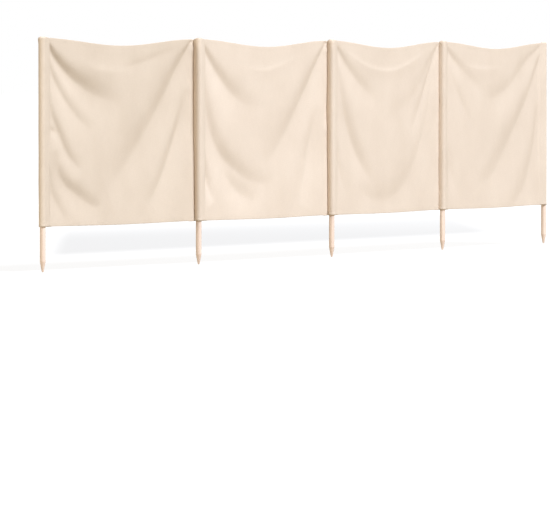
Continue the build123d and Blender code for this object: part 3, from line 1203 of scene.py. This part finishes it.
def cloth_piece(bay, start):
    """One bay of cloth as a single finished sheet: pocket, closed top, open cloth and hems."""
    places, plan, closing = cloths[bay]
    columns = places.shape[1]
    uvs = flat_coordinates(places, start)
    form = bmesh.new()
    layer = form.loops.layers.uv.new("flat")
    skipped = int(np.searchsorted(plan[0, POCKET_COUNT:, 0], HEM_START))
    first = POCKET_COUNT + skipped
    final = columns - closing - (skipped if bay == LAST_BAY else 0)
    # The open cloth and its hems are one tall grid. The pocket before it and the end after it have
    # no hems, because the turned strips stop short of the seams.
    hemmed = slice(first, final)
    normals = outward(places)
    lower = hem_rows(places[:, hemmed], normals[:, hemmed], False)[::-1]
    upper = hem_rows(places[:, hemmed], normals[:, hemmed], True)
    tall = np.vstack((lower, places[:, hemmed], upper))
    tall_uvs = flat_coordinates(tall, 0)
    tall_uvs[..., 0] = uvs[0, hemmed, 0]
    tall_uvs[..., 1] += uvs[0, first, 1] - tall_uvs[len(lower), 0, 1]
    add_patch(form, layer, places[:, : first + 1], uvs[:, : first + 1])
    add_patch(form, layer, tall, tall_uvs)
    add_patch(form, layer, places[:, final - 1 :], uvs[:, final - 1 :])
    ends = [(slice(0, POCKET_COUNT), False)]
    if bay == LAST_BAY:
        ends.append((slice(columns - POCKET_COUNT, columns), True))
    for part, mirrored in ends:
        lid = pocket_lid(bay, places[-1, part], plan[-1, part], mirrored)
        add_patch(form, layer, lid, lid[..., :2] + (start, LID_FLAT))
    bmesh.ops.remove_doubles(form, verts=form.verts, dist=WELD)
    mesh = bpy.data.meshes.new(f"bay_{bay + 1}_cloth")
    form.to_mesh(mesh)
    form.free()
    mesh.materials.append(canvas)
    piece = bpy.data.objects.new(mesh.name, mesh)
    bpy.context.scene.collection.objects.link(piece)
    return piece, uvs[0, -1, 0] - start


pieces = []
used = 0.0
for bay in range(BAY_COUNT):
    piece, length = cloth_piece(bay, used)
    pieces.append((piece, length))
    used += length
print("cloth along the row", round(used, 3), "m")

# %% Thickness


def shade(piece):
    """Makes a piece the active one and shades it smooth."""
    deselect()
    piece.select_set(True)
    bpy.context.view_layer.objects.active = piece
    bpy.ops.object.shade_smooth()


def thicken(piece):
    """Gives a sheet the thickness of its cloth."""
    shade(piece)
    solid = piece.modifiers.new("thickness", "SOLIDIFY")
    solid.thickness = CLOTH
    solid.offset = 0.0
    solid.use_even_offset = True
    bpy.ops.object.modifier_apply(modifier=solid.name)


for piece, length in pieces:
    thicken(piece)
    print(piece.name, 2 * len(piece.data.polygons), "triangles,", round(length, 3), "m along it")

# %% [markdown]
# ## Stitches
# The seams are lockstitched: from either side each stitch is a short bead of thread that dips into
# the cloth at both ends. A dashed line in the cloth's finish would look flat from close by. So one
# bead is modelled with few faces, and a copy of it is laid every 3.6 millimetres along the
# pockets' seams, the hems and the seam across each pocket's top.

# %% One stitch
STITCH_PITCH = 0.0036
STITCH_LENGTH = 0.0028
STITCH_WIDTH = 0.00055
STITCH_RAISED = 0.00008

deselect()
bpy.ops.mesh.primitive_uv_sphere_add(segments=6, ring_count=3, radius=0.5)
bead = bpy.context.object
bead.scale = (STITCH_WIDTH, STITCH_WIDTH, STITCH_LENGTH)
bpy.ops.object.transform_apply(location=False, rotation=False, scale=True)
bead_points = np.array([vertex.co[:] for vertex in bead.data.vertices])
bead_faces = [tuple(polygon.vertices) for polygon in bead.data.polygons]
bpy.data.objects.remove(bead)
print("one stitch", len(bead_faces), "faces")

# %% Places along a line


def even_steps(line):
    """Fractional places along a line of points, one stitch pitch apart."""
    steps = lengths_along(line)
    return np.interp(
        np.arange(STITCH_PITCH / 2, steps[-1], STITCH_PITCH), steps, np.arange(len(line))
    )


def picked(grid, row, column):
    """Values of a grid at fractional rows and columns."""
    r = np.clip(row.astype(int), 0, grid.shape[0] - 2)
    c = np.clip(column.astype(int), 0, grid.shape[1] - 2)
    u, v = (row - r)[:, None], (column - c)[:, None]
    near = grid[r, c] * (1 - v) + grid[r, c + 1] * v
    far = grid[r + 1, c] * (1 - v) + grid[r + 1, c + 1] * v
    return near * (1 - u) + far * u


def stitch_line(places, normals, row, column, offset):
    """Stitches through fractional grid places, pushed out of the cloth by an offset."""
    spots = picked(places, row, column)
    out = picked(normals, row, column)
    out = out / np.linalg.norm(out, axis=-1, keepdims=True)
    way = np.gradient(spots, axis=0)
    way = way - (way * out).sum(-1, keepdims=True) * out
    way = way / np.linalg.norm(way, axis=-1, keepdims=True)
    return spots + out * (offset + math.copysign(STITCH_RAISED, offset)), way, out


def row_at(places, column, depth, top):
    """The fractional row that lies a depth in from the top or bottom edge at each column."""
    rows = np.arange(places.shape[0], dtype=float)
    found = []
    for place in column:
        line = picked(places, rows, np.full(rows.shape, place))
        line = line[::-1] if top else line
        row = np.interp(depth, lengths_along(line), rows)
        found.append(rows[-1] - row if top else row)
    return np.array(found)


# %% Stitches of a bay
HEM_STITCH = 0.0108


def bay_stitches(bay):
    """All stitches on one bay: both hems, the seam of each pocket and the seam across its top."""
    places, _, closing = cloths[bay]
    normals = outward(places)
    columns = places.shape[1]
    front = CLOTH / 2
    last = bay == LAST_BAY
    lines = []
    for top in (False, True):
        edge = places[-1 if top else 0, POCKET_COUNT : columns - closing]
        column = POCKET_COUNT + even_steps(edge)
        row = row_at(places, column, HEM_STITCH, top)
        for offset in (front, -HEM_GAP - front):
            lines.append(stitch_line(places, normals, row, column, offset))
    under = UNDER_LAYER if bay else RETURN_LAYER
    seams = [(POCKET_COUNT - 1, under)]
    pockets = [slice(BACK_COUNT + SIDE_COUNT, POCKET_COUNT)]
    if last:
        seams.append((columns - closing - 1, RETURN_LAYER))
        pockets.append(slice(columns - closing, columns - BACK_COUNT - SIDE_COUNT))
    for seam, layer in seams:
        row = even_steps(places[:, seam])
        for offset in (front, FRONT_LAYER - layer - front):
            column = np.full(row.shape, float(seam))
            lines.append(stitch_line(places, normals, row, column, offset))
    across_row = np.interp(CROSS_SEAM, places[:, POCKET_COUNT - 1, 2], np.arange(len(places)))
    for part in pockets:
        column = part.start + even_steps(places[int(across_row), part])
        row = np.full(column.shape, across_row)
        lines.append(stitch_line(places, normals, row, column, front))
    return [np.concatenate(part) for part in zip(*lines)]


stitch_places = [bay_stitches(bay) for bay in range(BAY_COUNT)]
print("stitches", [len(spots) for spots, _, _ in stitch_places])

# %% Stitches as pieces


def stitch_piece(bay):
    """All of a bay's stitches as one piece: the bead copied to each place and turned there."""
    spots, way, out = stitch_places[bay]
    side = np.cross(out, way)
    points = spots[:, None] + sum(
        bead_points[:, axis, None] * direction[:, None]
        for axis, direction in enumerate((side, out, way))
    )
    faces = [
        tuple(corner + len(bead_points) * number for corner in face)
        for number in range(len(spots))
        for face in bead_faces
    ]
    mesh = bpy.data.meshes.new(f"bay_{bay + 1}_stitches")
    mesh.from_pydata(points.reshape(-1, 3).tolist(), [], faces)
    mesh.materials.append(thread)
    piece = bpy.data.objects.new(mesh.name, mesh)
    bpy.context.scene.collection.objects.link(piece)
    shade(piece)
    print(piece.name, "faces", len(faces))
    return piece


stitches = [stitch_piece(bay) for bay in range(BAY_COUNT)]

# %% [markdown]
# ## What each piece stands for
# Each sheet takes the place of its bay's panel, hems and pocket, and the last one also of the
# pocket at the row's end. All pieces ride with the rigid row. For each sheet the script prints how
# much flat canvas it was cut from: the cloth along it, pocket included, by the height with both
# hems.

# %% Pieces in the row
for bay, ((piece, length), sewn) in enumerate(zip(pieces, stitches)):
    number = bay + 1
    nodes = [f"{part}_{number}" for part in ("panel", "top_hem", "bottom_hem")]
    nodes += [f"sleeve_{number}", f"sleeve_cap_{number}"]
    if bay == LAST_BAY:
        nodes += [f"sleeve_{number + 1}", f"sleeve_cap_{number + 1}"]
    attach(piece, "root")
    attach(sewn, "root")
    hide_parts(*nodes)
    cut = (round(length, 2), round(PANEL_TOP - PANEL_BOTTOM + 2 * HEM, 2))
    print(piece.name, "cut from", cut, "m")
